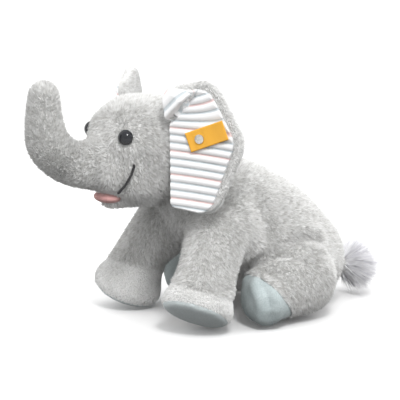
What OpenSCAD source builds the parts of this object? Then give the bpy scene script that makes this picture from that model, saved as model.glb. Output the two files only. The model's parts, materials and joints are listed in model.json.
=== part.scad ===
// Seated plush elephant: padded covers, stuffing and soft sewn joints.
// Millimetres. +Z is up, the animal looks along -Y and its left side is +X.
// The origin is the middle of the flat seat under the rump.

/* [Cloth] */
// Thickness of a plush panel, backing and pile together
cover_wall = 3; // [2:0.5:4]
// Gap between a panel and the stuffing behind it
fill_gap = 0.3; // [0.2:0.1:0.6]
// Gap between two bodies that a soft joint joins
joint_gap = 0.35; // [0.3:0.05:0.6]
// Play round anything that passes through or sits in the cloth
trim_gap = 0.2; // [0.1:0.05:0.4]

/* [Torso] */
// Radius of the rump
rump_r = 38; // [32:1:46]
// How far the rump is pressed flat where it sits
seat_press = 2.5; // [1:0.5:5]
// Radius of the belly and back
belly_r = 40; // [34:1:48]
// Radius at the shoulders
shoulder_r = 37; // [31:1:44]
// Radius of the neck end
neck_r = 26; // [21:1:31]
// Half the extra width of the trunk of the body, flat across its middle
torso_flat = 8; // [4:1:12]
// Distance from the rump centre forward to the neck
torso_reach = 74; // [66:1:88]
// Height of the neck above the rump centre
torso_rise = 58; // [50:1:68]
// Width of the belly panel
belly_panel_w = 40; // [30:1:52]

/* [Head] */
// Radius of the skull
skull_r = 33; // [28:1:38]
// Radius of the forehead
brow_r = 24; // [20:1:28]
// Radius of each cheek
cheek_r = 20; // [16:1:24]
// Radius of the lower lip
lip_r = 8; // [6:0.5:10]
// Distance from the neck forward to the middle of the skull
head_reach = 33; // [28:1:40]
// Height of the skull centre above the neck
head_rise = 26; // [21:1:31]

/* [Trunk] */
// Radius of the trunk where it leaves the face
trunk_root_r = 20; // [17:1:23]
// Radius of the trunk at its bend
trunk_bend_r = 15.5; // [13:0.5:18]
// Radius of the trunk at its tip
trunk_tip_r = 10.5; // [8:0.5:12.5]
// How far the trunk runs forward before it turns up
trunk_reach = 41; // [35:1:49]
// Height of the raised end above the root
trunk_rise = 46; // [39:1:55]

/* [Ears] */
// Height of an ear
ear_h = 87; // [73:1:104]
// Width of an ear from its sewn edge
ear_w = 49; // [41:1:59]
// Thickness of an ear over all its layers
ear_t = 6.5; // [5.5:0.5:8]
// Width of the plush rim round the lining
ear_rim = 4; // [3:0.5:6]
// Thickness of the lining cloth
lining_t = 1.4; // [1:0.1:2]
// Angle that the ears are swept back
ear_sweep = 37; // [30:1:44]
// Angle that the ears lean forward
ear_lean = 1; // [0:0.5:12]

/* [Legs] */
// Radius of the shoulder ball of a front leg
front_top_r = 23; // [19:1:27]
// Radius of a front leg at the knee
front_knee_r = 21.5; // [18:1:25]
// Radius of a front foot
front_foot_r = 25; // [21:1:28]
// Distance from the neck's height down to the top of a front leg
shoulder_below = 9; // [6:0.5:14]
// Distance of each front foot from the middle
front_stance = 46; // [42:1:55]
// Radius of the thigh
thigh_r = 28; // [24:1:33]
// Radius of a hind foot
hind_foot_r = 20; // [17:1:24]
// Distance of each hind foot from the middle
hind_stance = 52; // [47:1:60]
// Length of the hind leg from the hip to the sole
hind_len = 50; // [42:1:58]

/* [Tail] */
// Radius of the tail
tail_r = 8; // [6.5:0.5:9.5]
// Length of the plush part of the tail
tail_len = 15; // [12.5:0.5:18]
// Radius of the tuft
tuft_r = 12.5; // [10:0.5:15]
// Length of the tuft
tuft_len = 24; // [20:1:29]

/* [Eyes and label] */
// Diameter of an eye
eye_d = 10; // [8:0.5:12]
// Diameter of the washer that holds an eye
washer_d = 13; // [11:0.5:15]
// Diameter of the eye's stem
stem_d = 3; // [2.5:0.25:4]
// Length of the label ribbon
label_l = 28; // [23:1:33]
// Width of the label ribbon
label_w = 13; // [11:1:15]
// Diameter of the snap that holds the label
snap_d = 6; // [5:0.5:7]

/* [Hidden] */

// Colours
plush = [0.79, 0.79, 0.78];
sole_grey = [0.70, 0.73, 0.74];
fibre = [0.95, 0.95, 0.94];
lining_white = [0.96, 0.95, 0.93];
mouth_pink = [0.86, 0.60, 0.60];
label_apricot = [0.93, 0.72, 0.48];
thread_black = [0.08, 0.08, 0.08];
nickel = [0.75, 0.74, 0.70];

// Facets round a large, a middle and a small ball, and round the room that one turns in
big_sides = 16;
mid_sides = 14;
thin_sides = 12;
room_sides = 28;
far = 400; // larger than anything here

// Motion of each soft joint, in degrees
nod = [-10, 10];
curl = [-12, 12];
flap = [-35, 15];
front_swing = [-35, 3];
hind_splay = [-3, 24];
tail_lift = [-20, 30];

function mix(a, b, t) = a + (b - a) * t;
function middle(range) = (range[0] + range[1]) / 2;

/* ---- Where each body is. Balls are [x, y, z, radius]. On a form that is the same on both
   sides, x is half its flat width, and each ball stands for a pair. ---- */

rump_z = rump_r - seat_press;
rump = [torso_flat, 0, rump_z, rump_r];
neck_y = -torso_reach;
neck_z = rump_z + torso_rise;
torso_keys = [
    rump,
    [torso_flat, -0.33 * torso_reach, rump_z + 0.36 * torso_rise, belly_r],
    [torso_flat * 0.75, -0.68 * torso_reach, rump_z + 0.66 * torso_rise, shoulder_r],
    [0, neck_y - 4, neck_z - 3, neck_r],
];
neck_pivot = [0, neck_y - 10, neck_z + 4];

skull = [6, neck_pivot.y - head_reach, neck_pivot.z + head_rise, skull_r];
cheek = [13, skull.y - 8, skull.z - 20, cheek_r];
head_keys = [
    [0, neck_pivot.y, neck_pivot.z, neck_r],
    [skull.x, skull.y + 9, skull.z, skull_r],
    [skull.x, skull.y - 1, skull.z + 1, skull_r - 1],
    [4, skull.y - 10, skull.z - 4, brow_r],
];
cheek_keys = [
    [cheek.x, cheek.y + 14, cheek.z + 2, cheek_r],
    cheek,
    [8, cheek.y - 8, cheek.z + 2, cheek_r - 3],
];
lip = [4, cheek.y - 14, cheek.z - 17, lip_r];
jaw_keys = [[9, cheek.y + 6, cheek.z - 9, cheek_r - 4], lip];

trunk_pivot = [0, skull.y - 27, skull.z - 13];
trunk_keys = [
    [0, trunk_pivot.y, trunk_pivot.z, trunk_root_r],
    [0, trunk_pivot.y - 0.55 * trunk_reach, trunk_pivot.z, trunk_bend_r + 1],
    [0, trunk_pivot.y - 0.9 * trunk_reach, trunk_pivot.z + 0.27 * trunk_rise, trunk_bend_r],
    [0, trunk_pivot.y - trunk_reach, trunk_pivot.z + 0.62 * trunk_rise, trunk_bend_r - 2],
    [0, trunk_pivot.y - trunk_reach, trunk_pivot.z + trunk_rise, trunk_tip_r],
];

tread = 0.6; // how far the hind legs are pressed flat on the ground
foot_tilt = [-28, -16, 0]; // the front soles look forward and outward
foot_edge_r = 8;
foot_rim = 7; // balls round the edge of a front foot
foot_z = foot_edge_r + (front_foot_r - foot_edge_r) * norm([sin(foot_tilt.x), sin(foot_tilt.y)]);
sole_line = 3; // height of the sole's seam above the foot's lowest edge balls
front_pivot = [torso_keys[2].x + shoulder_r - 9, neck_y - 3, neck_z - shoulder_below - front_top_r];
front_foot = [front_stance, front_pivot.y - 22, foot_z];
front_top = [front_pivot.x, front_pivot.y, front_pivot.z, front_top_r];
front_knee = [mix(front_pivot.x, front_foot.x, 0.7), mix(front_pivot.y, front_foot.y, 0.55),
    mix(front_pivot.z, foot_z, 0.5), front_knee_r];

hip_pivot = [torso_flat + rump_r - 6, -16, thigh_r - tread];
hip = [hip_pivot.x, hip_pivot.y, hip_pivot.z, thigh_r];
hind_foot = [hind_stance, hip_pivot.y - hind_len + 14, hind_foot_r - tread, hind_foot_r];
hind_knee = [mix(hip.x, hind_foot.x, 0.5), mix(hip.y, hind_foot.y, 0.55),
    mix(hip.z, hind_foot.z, 0.6), mix(thigh_r, hind_foot_r, 0.65)];
hind_sole_y = hip_pivot.y - hind_len;
hind_sole_depth = 5;
hind_sole_slant = 42; // the smooth hind sole reaches further back underneath

tail_pivot = [0, rump_r - 3, rump_z - 8];
tail_drop = 5;
tail_end = [0, tail_pivot.y + tail_len, tail_pivot.z - tail_drop, tail_r];

ear_root = [skull.x + skull_r - 3.5, skull.y + 8, skull.z - 0.49 * ear_h];
ear_edge = [5, 0.68 * ear_h + 3]; // from end to end of the ear's straight edge
ear_seam = [12, ear_edge[1] - 4]; // the stretch of it that is sewn to the head
bead_r = ear_t / 2;

/* ---- Helpers ---- */

// A smooth run of balls through the key balls, n steps between each two
function bend(p, q, r, s, t) = 0.5 * (2 * q + (r - p) * t
    + (2 * p - 5 * q + 4 * r - s) * t * t + (3 * q - p - 3 * r + s) * t * t * t);
function smooth_run(keys, n) = [
    for (i = [0 : len(keys) - 2], j = [0 : n - 1])
        bend(keys[max(i - 1, 0)], keys[i], keys[i + 1], keys[min(i + 2, len(keys) - 1)], j / n),
    keys[len(keys) - 1],
];

// A ball turned about a line through the pivot along X or along Z
function turned_x(b, p, a) = [b.x,
    p.y + (b.y - p.y) * cos(a) - (b.z - p.z) * sin(a),
    p.z + (b.y - p.y) * sin(a) + (b.z - p.z) * cos(a), b[3]];
function turned_z(b, p, a) = [
    p.x + (b.x - p.x) * cos(a) - (b.y - p.y) * sin(a),
    p.y + (b.x - p.x) * sin(a) + (b.y - p.y) * cos(a), b.z, b[3]];
function steps(range) = [range[0], range[0] / 2, 0, range[1] / 2, range[1]];

module ball(b, inset, sides) translate([b.x, b.y, b.z]) sphere(r = b[3] - inset, $fn = sides);
module ball_pair(b, inset, sides) for (s = [-1, 1]) ball([s * b.x, b.y, b.z, b[3]], inset, sides);

// A rounded body along a run of balls, or of pairs of balls when both is true
module run(balls, inset, sides, both = false)
    for (i = [0 : len(balls) - 2]) hull() for (b = [balls[i], balls[i + 1]])
        if (both) ball_pair(b, inset, sides); else ball(b, inset, sides);

// The room that such a body needs as it turns. A faceted ball falls short of its radius
// by up to sag, so the room is that much larger, and larger by the joint's gap.
function sag(r) = r / pow(cos(180 / room_sides), 2) - r;
module room_x(balls, pivot, range, both = false)
    for (i = [0 : len(balls) - 2]) hull() for (b = [balls[i], balls[i + 1]], a = steps(range)) {
        t = turned_x(b, pivot, a);
        if (both) ball_pair(t, -joint_gap - sag(b[3]), room_sides);
        else ball(t, -joint_gap - sag(b[3]), room_sides);
    }
module room_z(balls, pivot, range)
    for (i = [0 : len(balls) - 2]) hull() for (b = [balls[i], balls[i + 1]], a = steps(range))
        ball(turned_z(b, pivot, a), -joint_gap - sag(b[3]), room_sides);

module on_right() mirror([1, 0, 0]) children();
module on_both() for (s = [0, 1]) mirror([s, 0, 0]) children();
module left_half() translate([0, -far, -far]) cube(2 * far);
module above(z) translate([-far, -far, z]) cube(2 * far);
// A flat outline drawn in (y, z), w wide from side to side
module across(w) rotate([90, 0, 90]) linear_extrude(w, center = true) children();

/* ---- Forms: the outside of each padded body, drawn in by inset ---- */

module torso_form(inset = 0) intersection() {
    run(smooth_run(torso_keys, 2), inset, big_sides, both = true);
    above(inset);
}

module head_form(inset = 0) {
    run(head_keys, inset, big_sides, both = true);
    run(cheek_keys, inset, mid_sides, both = true);
    run(jaw_keys, inset, thin_sides, both = true);
    hull() {
        ball_pair(cheek, inset, mid_sides);
        ball_pair(head_keys[2], inset, big_sides);
    }
}

module trunk_form(inset = 0) run(smooth_run(trunk_keys, 2), inset, thin_sides);

function foot_ball(i) = let (a = i * 360 / foot_rim, r = front_foot_r - foot_edge_r,
    u = r * cos(a), v = r * sin(a), ty = -foot_tilt.y, tx = foot_tilt.x)
    [front_foot.x + u * cos(ty), front_foot.y + v * cos(tx),
        front_foot.z + u * sin(ty) + v * sin(tx), foot_edge_r];
foot_balls = [for (i = [0 : foot_rim - 1]) foot_ball(i)];

module front_leg_form(inset = 0) {
    run(smooth_run([front_top, front_knee], 3), inset, mid_sides);
    hull() {
        ball(front_knee, inset, mid_sides);
        for (b = foot_balls) ball(b, inset, thin_sides);
    }
}

module below_front_sole() translate(front_foot) rotate(foot_tilt)
    translate([-far, -far, -2 * far - sole_line]) cube(2 * far);

module hind_leg_form(inset = 0) intersection() {
    run(smooth_run([hip, hind_knee, hind_foot], 2), inset, mid_sides);
    translate([-far, hind_sole_y + inset, inset]) cube(2 * far);
}

module beyond_hind_sole() translate([0, hind_sole_y + hind_sole_depth, hind_foot.z + hind_foot_r])
    rotate([hind_sole_slant, 0, 0]) translate([-far, -2 * far, -far]) cube(2 * far);

module tail_form(inset = 0) run(smooth_run([[0, tail_pivot.y, tail_pivot.z, tail_r], tail_end], 4),
    inset, thin_sides);

/* ---- Room cut out of a body for what turns in it ---- */

module torso_rooms() {
    room_x([for (i = [0 : 1]) head_keys[i]], neck_pivot, nod, both = true);
    room_x([cheek_keys[0], jaw_keys[0]], neck_pivot, nod, both = true);
    on_both() {
        room_x([front_top, front_knee], front_pivot, front_swing);
        room_z([hip, hind_knee, hind_foot], hip_pivot, hind_splay);
    }
    room_x([[0, tail_pivot.y, tail_pivot.z, tail_r], tail_end], tail_pivot, tail_lift);
}

module ear_place() translate(ear_root) rotate([ear_lean, 0, 0]) rotate([0, 0, ear_sweep]) children();

module ear_room() hull() for (a = [flap[0], middle(flap), flap[1]], u = [0, 0.3 * ear_w])
    ear_place() rotate([0, 0, a]) translate([u, 0, ear_edge[0] - 2])
        cylinder(r = bead_r + 2 * joint_gap, h = ear_edge[1] - ear_edge[0] + 4, $fn = mid_sides);

// The eyes: a glossy dome on a stem, held by a washer behind the cloth
eye_at = [skull.x + 19.4, skull.y - 22.8, skull.z + 7.3];
eye_out = [0, 80, -50]; // the way that the left eye looks
module eye_place() translate(eye_at) rotate([0, 0, eye_out.z]) rotate([0, eye_out.y, 0]) children();
eye_h = 0.42 * eye_d;
washer_t = 1.4;
washer_at = cover_wall + fill_gap + 1;
stem_l = washer_at + washer_t + 1.2;

smile_at = [[-11, 10], [-11.8, 7], [-13, 2.5], [-14.3, -1.5], [-15.5, -5.5], [-16.5, -9.5]];
smile_r = 0.8;
module smile_slab(r) translate([12, cheek.y, cheek.z]) rotate([90, 0, 90]) linear_extrude(far)
    for (i = [0 : len(smile_at) - 2]) hull() for (p = [smile_at[i], smile_at[i + 1]])
        translate(p) circle(r, $fn = 8);

module head_rooms() {
    room_x(smooth_run([for (i = [0 : 2]) trunk_keys[i]], 2), trunk_pivot, curl);
    on_both() ear_room();
}
module eye_seat() eye_place() {
    cylinder(d = eye_d + 2 * trim_gap, h = 2 * eye_h, $fn = 20);
    translate([0, 0, -stem_l]) cylinder(d = stem_d + 2 * trim_gap, h = stem_l + 1, $fn = 14);
}
module washer_seat() eye_place() translate([0, 0, -washer_at - washer_t - trim_gap])
    cylinder(d = washer_d + 2 * trim_gap, h = washer_t + 2 * trim_gap, $fn = 20);

mouth_z = lip.z - 2.5; // height of the mouth's corners
module mouth_region() translate([-lip.x - 10, lip.y - far, mouth_z])
    cube([2 * lip.x + 20, far + 4, cheek_r]);
module jaw_region() translate([-far, cheek.y + 8 - 2 * far, mouth_z - 2 * far]) cube(2 * far);

/* ---- The pieces ---- */

module belly_region(w) across(w) polygon([[0.65 * rump_r, -1], [0.5 * rump_r, 9],
    [neck_y - 14, neck_z - 14], [neck_y - far, neck_z - 14], [neck_y - far, -1]]);

module torso_shell() difference() {
    torso_form();
    torso_form(cover_wall);
    torso_rooms();
}
module torso_side() difference() {
    intersection() {
        torso_shell();
        left_half();
    }
    belly_region(belly_panel_w);
}
module torso_panel_left() color(plush) torso_side();
module torso_panel_right() color(plush) on_right() torso_side();
module belly_panel() color(plush) intersection() {
    torso_shell();
    belly_region(belly_panel_w);
}
module torso_stuffing() color(fibre) difference() {
    torso_form(cover_wall + fill_gap);
    torso_rooms();
}

module head_side() intersection() {
    difference() {
        head_form();
        head_form(cover_wall);
        head_rooms();
        mouth_region();
        jaw_region();
        eye_seat();
        difference() {
            smile_slab(smile_r + trim_gap / 2);
            head_form(smile_r + trim_gap);
        }
    }
    left_half();
}
module head_panel_left() color(plush) head_side();
module head_panel_right() color(plush) on_right() head_side();
module jaw_panel() color(plush) intersection() {
    difference() {
        head_form();
        head_form(cover_wall);
        head_rooms();
    }
    jaw_region();
}
module mouth_lining() color(mouth_pink) intersection() {
    difference() {
        head_form();
        head_form(cover_wall);
        head_rooms();
    }
    mouth_region();
}
module head_stuffing() color(fibre) difference() {
    head_form(cover_wall + fill_gap);
    head_rooms();
    on_both() {
        eye_seat();
        washer_seat();
    }
}

module smile_stitch() color(thread_black) intersection() {
    difference() {
        head_form(-0.4);
        head_form(smile_r);
        head_rooms();
        mouth_region();
    }
    smile_slab(smile_r);
}
module smile_stitch_left() smile_stitch();
module smile_stitch_right() on_right() smile_stitch();

module eye() color(thread_black) eye_place() {
    rotate_extrude($fn = 48) intersection() {
        translate([0, eye_h - eye_d * 0.56]) circle(d = eye_d * 1.12, $fn = 64);
        square([eye_d / 2, eye_h]);
    }
    translate([0, 0, -stem_l]) cylinder(d = stem_d, h = stem_l + 0.5, $fn = 32);
}
module eye_left() eye();
module eye_right() on_right() eye();
module eye_washer() color("white") eye_place() translate([0, 0, -washer_at - washer_t]) difference() {
    cylinder(d = washer_d, h = washer_t, $fn = 48);
    translate([0, 0, -1]) cylinder(d = stem_d + trim_gap / 2, h = washer_t + 2, $fn = 32);
}
module eye_washer_left() eye_washer();
module eye_washer_right() on_right() eye_washer();

module trunk_side() difference() {
    intersection() {
        trunk_form();
        left_half();
    }
    trunk_form(cover_wall);
}
module trunk_panel_left() color(plush) trunk_side();
module trunk_panel_right() color(plush) on_right() trunk_side();
module trunk_stuffing() color(fibre) trunk_form(cover_wall + fill_gap);

// An ear's outline: x runs out from its sewn edge, y up from its lowest point
module ear_outline(inset = 0) offset(r = -inset) hull() {
    translate([2, ear_edge[0] + 3]) circle(3, $fn = 24);
    translate([2, ear_edge[1] - 3]) circle(3, $fn = 24);
    translate([0.43 * ear_w, ear_h - 14]) circle(14, $fn = 40);
    translate([ear_w - 18, 0.54 * ear_h]) circle(18, $fn = 40);
    translate([0.42 * ear_w, 13]) circle(13, $fn = 40);
}
// A layer of the ear between two depths from its front face
module ear_layer(from, to, inset) translate([0, to - ear_t / 2, 0]) rotate([90, 0, 0])
    linear_extrude(to - from) ear_outline(inset);
wadding_t = ear_t - cover_wall - lining_t;
snap_at = [0.4 * ear_w, 0.57 * ear_h];
snap_post_d = 2;
snap_base_t = 1;
label_t = 1;
module at_snap() translate([snap_at.x, 0, snap_at.y]) rotate([90, 0, 0]) children();
module snap_hole() at_snap() translate([0, 0, -ear_t])
    cylinder(d = snap_post_d + 2 * trim_gap, h = 2 * ear_t, $fn = 24);

module ear_back(hole) difference() {
    union() {
        ear_layer(0, ear_t, 0);
        translate([0, 0, ear_seam[0]]) cylinder(r = bead_r, h = ear_seam[1] - ear_seam[0], $fn = 32);
    }
    ear_layer(-1, ear_t - cover_wall, ear_rim);
    if (hole) snap_hole();
}
module ear_inner(from, to, hole) difference() {
    ear_layer(from, to, ear_rim + trim_gap);
    if (hole) snap_hole();
}
module ear_back_left() color(plush) ear_place() ear_back(true);
module ear_back_right() color(plush) on_right() ear_place() ear_back(false);
module ear_wadding_left() color(fibre) ear_place() ear_inner(lining_t, lining_t + wadding_t, true);
module ear_wadding_right() color(fibre) on_right() ear_place()
    ear_inner(lining_t, lining_t + wadding_t, false);
module ear_lining_left() color(lining_white) ear_place() ear_inner(0, lining_t, true);
module ear_lining_right() color(lining_white) on_right() ear_place() ear_inner(0, lining_t, false);

label_turn = 20;
module label_ribbon() color(label_apricot) ear_place() difference() {
    translate([snap_at.x, -ear_t / 2 - label_t, snap_at.y]) rotate([0, -label_turn, 0])
        translate([-0.3 * label_l, 0, -label_w / 2]) cube([label_l, label_t, label_w]);
    snap_hole();
}
module label_snap_cap() color(nickel) ear_place() at_snap() {
    translate([0, 0, ear_t / 2 + label_t]) rotate_extrude($fn = 48) intersection() {
        translate([0, -0.9 * snap_d]) circle(1.15 * snap_d, $fn = 64);
        square([snap_d / 2, snap_d]);
    }
    translate([0, 0, -ear_t / 2 - snap_base_t])
        cylinder(d = snap_post_d, h = ear_t + label_t + snap_base_t + 0.5, $fn = 32);
}
module label_snap_base() color(nickel) ear_place() at_snap()
    translate([0, 0, -ear_t / 2 - snap_base_t]) difference() {
        cylinder(d = snap_d + 2, h = snap_base_t, $fn = 48);
        translate([0, 0, -1]) cylinder(d = snap_post_d + trim_gap / 2, h = snap_base_t + 2, $fn = 32);
    }

module front_leg_cover() color(plush) difference() {
    front_leg_form();
    front_leg_form(cover_wall);
    below_front_sole();
}
module front_sole() color(sole_grey) intersection() {
    difference() {
        front_leg_form();
        front_leg_form(cover_wall);
    }
    below_front_sole();
}
module front_leg_stuffing() color(fibre) difference() {
    front_leg_form(cover_wall + fill_gap);
    front_leg_cover();
}
module front_leg_cover_left() front_leg_cover();
module front_leg_cover_right() on_right() front_leg_cover();
module front_sole_left() front_sole();
module front_sole_right() on_right() front_sole();
module front_leg_stuffing_left() front_leg_stuffing();
module front_leg_stuffing_right() on_right() front_leg_stuffing();

module hind_leg_cover() color(plush) difference() {
    hind_leg_form();
    hind_leg_form(cover_wall);
    beyond_hind_sole();
}
module hind_sole() color(sole_grey) intersection() {
    difference() {
        hind_leg_form();
        hind_leg_form(cover_wall);
    }
    beyond_hind_sole();
}
module hind_leg_stuffing() color(fibre) difference() {
    hind_leg_form(cover_wall + fill_gap);
    hind_leg_cover();
}
module hind_leg_cover_left() hind_leg_cover();
module hind_leg_cover_right() on_right() hind_leg_cover();
module hind_sole_left() hind_sole();
module hind_sole_right() on_right() hind_sole();
module hind_leg_stuffing_left() hind_leg_stuffing();
module hind_leg_stuffing_right() on_right() hind_leg_stuffing();

module past_tail_end() translate([-far, tail_end.y, -far]) cube(2 * far);
module tail_cover() color(plush) difference() {
    tail_form();
    tail_form(cover_wall);
    past_tail_end();
}
module tail_stuffing() color(fibre) difference() {
    tail_form(cover_wall + fill_gap);
    past_tail_end();
    tail_cover();
}
module tail_tuft() color("white") intersection() {
    run(smooth_run([
        [0, tail_end.y - 2, tail_end.z, tail_r],
        [0, tail_end.y + 0.35 * tuft_len, tail_end.z - 1, tuft_r],
        [0, tail_end.y + tuft_len - 0.5 * tuft_r, tail_end.z - 3, 0.5 * tuft_r],
    ], 4), 0, thin_sides);
    past_tail_end();
}

torso_panel_left();
torso_panel_right();
belly_panel();
torso_stuffing();
head_panel_left();
head_panel_right();
jaw_panel();
mouth_lining();
head_stuffing();
smile_stitch_left();
smile_stitch_right();
eye_left();
eye_right();
eye_washer_left();
eye_washer_right();
trunk_panel_left();
trunk_panel_right();
trunk_stuffing();
ear_back_left();
ear_back_right();
ear_wadding_left();
ear_wadding_right();
ear_lining_left();
ear_lining_right();
label_ribbon();
label_snap_cap();
label_snap_base();
front_leg_cover_left();
front_leg_cover_right();
front_sole_left();
front_sole_right();
front_leg_stuffing_left();
front_leg_stuffing_right();
hind_leg_cover_left();
hind_leg_cover_right();
hind_sole_left();
hind_sole_right();
hind_leg_stuffing_left();
hind_leg_stuffing_right();
tail_cover();
tail_stuffing();
tail_tuft();
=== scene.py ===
# %% [markdown]
# # A seated plush elephant
# A plush animal is a set of sewn covers pushed out by fibre filling. The covers of the body,
# the head and the trunk meet in seams, and the legs, ears and tail are filled on their own and
# sewn on. This lesson starts from the engineered frame: it gives the bodies, the joints and
# the room that each piece may take. Every cover is built round that frame in millimetres.

# %% Load the frame
import json
import math

import bmesh
import bpy
import numpy as np
import openvdb
from mathutils import Matrix, Vector


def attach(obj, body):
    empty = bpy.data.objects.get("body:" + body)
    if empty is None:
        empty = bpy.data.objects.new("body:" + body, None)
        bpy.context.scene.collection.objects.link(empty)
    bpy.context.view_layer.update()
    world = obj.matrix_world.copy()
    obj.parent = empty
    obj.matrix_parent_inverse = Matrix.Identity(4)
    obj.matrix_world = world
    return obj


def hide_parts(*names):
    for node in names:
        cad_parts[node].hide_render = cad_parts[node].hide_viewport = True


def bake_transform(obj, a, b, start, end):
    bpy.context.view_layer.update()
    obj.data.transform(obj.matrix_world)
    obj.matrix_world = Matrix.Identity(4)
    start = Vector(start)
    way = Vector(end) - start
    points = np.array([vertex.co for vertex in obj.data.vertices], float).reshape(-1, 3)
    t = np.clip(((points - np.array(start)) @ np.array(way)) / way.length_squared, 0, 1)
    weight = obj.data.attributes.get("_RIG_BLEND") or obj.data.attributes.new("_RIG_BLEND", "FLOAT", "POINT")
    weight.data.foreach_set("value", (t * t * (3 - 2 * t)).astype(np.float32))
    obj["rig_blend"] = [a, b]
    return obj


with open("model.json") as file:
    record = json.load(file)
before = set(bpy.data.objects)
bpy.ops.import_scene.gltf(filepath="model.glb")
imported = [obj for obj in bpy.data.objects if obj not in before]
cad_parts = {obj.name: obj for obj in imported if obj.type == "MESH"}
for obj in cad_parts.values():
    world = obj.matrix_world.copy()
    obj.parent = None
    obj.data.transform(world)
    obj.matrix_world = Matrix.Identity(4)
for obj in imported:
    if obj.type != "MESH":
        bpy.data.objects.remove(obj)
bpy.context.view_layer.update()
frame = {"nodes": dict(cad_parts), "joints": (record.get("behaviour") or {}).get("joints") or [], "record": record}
MM = 0.001
pivot = {j["name"]: np.array(j["pos_m"]) / MM for j in frame["joints"]}

# %% Small helpers
SIDES = (("left", 1), ("right", -1))


def add_object(name, data):
    piece = bpy.data.objects.new(name, data)
    bpy.context.scene.collection.objects.link(piece)
    return piece


def finished_mesh(piece):
    """A new mesh of a piece as its modifiers leave it."""
    return bpy.data.meshes.new_from_object(piece.evaluated_get(bpy.context.evaluated_depsgraph_get()))


def own_points(points):
    """Points of either side, brought to the left side, where x is positive."""
    return np.column_stack([np.abs(points[:, 0]), points[:, 1:]])


def turned(*turns):
    """Turns of so many degrees about the named axes, the last one made first."""
    whole = Matrix.Identity(3)
    for degrees, axis in turns:
        whole = whole @ Matrix.Rotation(math.radians(degrees), 3, axis)
    return whole


def wire(node, inputs):
    """Sets a node's inputs, each to a value or to a link from another node's output."""
    for name, value in inputs.items():
        if isinstance(value, bpy.types.NodeSocket):
            node.id_data.links.new(value, node.inputs[name])
        else:
            node.inputs[name].default_value = value
    return node


def math_node(tree, kind, *values):
    node = tree.nodes.new("ShaderNodeMath")
    node.operation = kind
    return wire(node, dict(enumerate(values))).outputs[0]


def vector_node(tree, kind, a, b):
    node = tree.nodes.new("ShaderNodeVectorMath")
    node.operation = kind
    return wire(node, {0: a, "Scale" if kind == "SCALE" else 1: b}).outputs[0]

# %% [markdown]
# ## Filled forms
# A pattern maker thinks of a filled form as a run of balls that the cloth wraps. A function
# gives how far any point lies outside such a run, so forms can be merged softly where one
# cover flows into the next, and cut flat where the toy sits on the table. A volume grid then
# turns the function into an even mesh, which cloth simulation likes better than a loft.


# %% Distance to a run of balls
def through(keys, steps):
    """Balls in a smooth run through the key balls (x, y, z, radius)."""
    keys = [np.array(k, float) for k in keys]
    balls = []
    for i in range(len(keys) - 1):
        p, q = keys[max(i - 1, 0)], keys[i]
        r, s = keys[i + 1], keys[min(i + 2, len(keys) - 1)]
        for t in np.arange(steps) / steps:
            square = (2 * p - 5 * q + 4 * r - s) * t**2
            cube = (3 * q - p - 3 * r + s) * t**3
            balls.append(0.5 * (2 * q + (r - p) * t + square + cube))
    return balls + [keys[-1]]


def padded_run(points, balls, both=False):
    """How far points lie outside a run of balls. With both, x is a ball's half flat width."""
    nearest = np.full(len(points), 1e3)
    for a, b in zip(balls[:-1], balls[1:]):
        step, away = b[:3] - a[:3], points - a[:3]
        if both:
            step, away = step * (0, 1, 1), points - (0, a[1], a[2])
        t = np.clip(away @ step / max(step @ step, 1e-6), 0, 1)
        offset = away - t[:, None] * step
        if both:
            flat = a[0] + t * (b[0] - a[0])
            offset[:, 0] = np.maximum(np.abs(points[:, 0]) - flat, 0)
        nearest = np.minimum(nearest, np.linalg.norm(offset, axis=1) - a[3] - t * (b[3] - a[3]))
    return nearest


def soft_union(a, b, reach):
    h = np.clip(0.5 + 0.5 * (b - a) / reach, 0, 1)
    return b + (a - b) * h - reach * h * (1 - h)


def soft_cut(a, b, reach):
    return -soft_union(-a, -b, reach)


print("a ball run through two keys", len(through([(0, 0, 0, 1), (0, 0, 9, 1)], 4)), "balls")

# %% The body, head and trunk
neck, face, shoulder = pivot["head_nod"], pivot["trunk_curl"], pivot["front_leg_left_swing"]
hip, tail_root, ear_root = pivot["hind_leg_left_splay"], pivot["tail_lift"], pivot["ear_left_flap"]
torso_balls = through([(8, 0, 35.5, 38), (8, -24.4, 56.4, 40), (6, -50.3, 73.8, 37), (0, -78, 90.5, 26)], 3)
head_balls = [np.array(b, float) for b in [(0, neck[1], neck[2], 26), (6, -108, 123.5, 33),
                                           (6, -117.3, 124.5, 32), (4, -124.5, 118.5, 23)]]
cheek_balls = [np.array(b, float) for b in [(13, -111, 105.5, 20), (13, -125, 103.5, 20),
                                            (8, -133, 105.5, 17)]]
jaw_balls = [np.array(b, float) for b in [(9, -119, 94.5, 16), (4, -139, 86.5, 8)]]
trunk_balls = through([(0, face[1], face[2], 20), (0, -166.6, 113.0, 16.8), (0, -181.5, 124.6, 16.6),
                       (0, -185.4, 139, 14.8), (0, -185.4, 157.5, 12.6)], 4)
shoulder_balls = [np.array([*shoulder, 21.8]), np.array([*(shoulder + (-5, 14, 3)), 22])]
hip_balls = [np.array([*hip, 26.5]), np.array([*(hip + (-2, -10, 1)), 23])]
SEAT = 0.8


def core_form(points):
    torso = padded_run(points, torso_balls, both=True)
    head = padded_run(points, head_balls, both=True)
    head = soft_union(head, padded_run(points, cheek_balls, both=True), 7)
    jaw = padded_run(points, jaw_balls, both=True)
    trunk = padded_run(points, trunk_balls)
    form = soft_union(soft_union(torso, head, 10), trunk, 9)
    form = soft_union(form, jaw, 4)
    side = own_points(points)
    form = soft_union(form, padded_run(side, shoulder_balls), 14)
    form = soft_union(form, padded_run(side, hip_balls), 12)
    return soft_cut(form, SEAT - points[:, 2], 5)


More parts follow.
